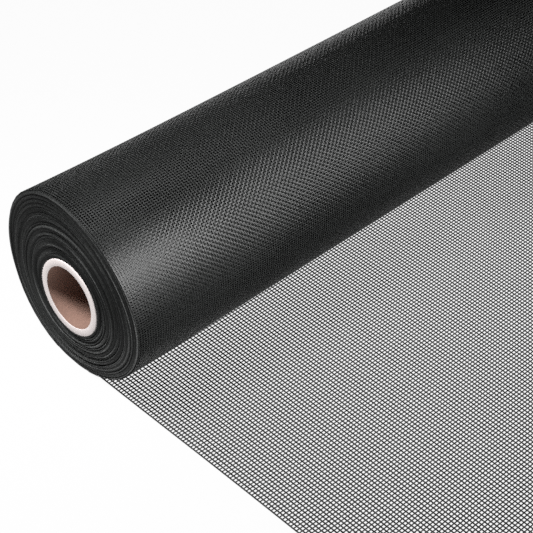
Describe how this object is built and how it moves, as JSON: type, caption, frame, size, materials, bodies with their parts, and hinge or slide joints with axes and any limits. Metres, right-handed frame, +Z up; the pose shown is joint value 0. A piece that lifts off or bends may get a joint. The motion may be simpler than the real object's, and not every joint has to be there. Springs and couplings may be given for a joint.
{
  "type": "roll of fiberglass insect screen",
  "caption": "Roll of woven charcoal insect screen on a cardboard core, lying on its side with its loose end laid flat.",
  "frame": {"origin": "middle of the flat spot under the roll, on the surface it rests on", "axes": "+X along the roll, away from its near end; +Z up; the loose end lies flat towards -Y"},
  "size_m": [0.6133, 0.29, 0.0803],
  "materials": {
    "screen_net": "charcoal vinyl-coated glass yarn, plain weave, slight sheen",
    "core_board": "matt wound paperboard, pale cut ends"
  },
  "bodies": {
    "root": {"screen_roll": "screen_net", "core_tube": "core_board", "loose_end": "screen_net"}
  },
  "joints": []
}
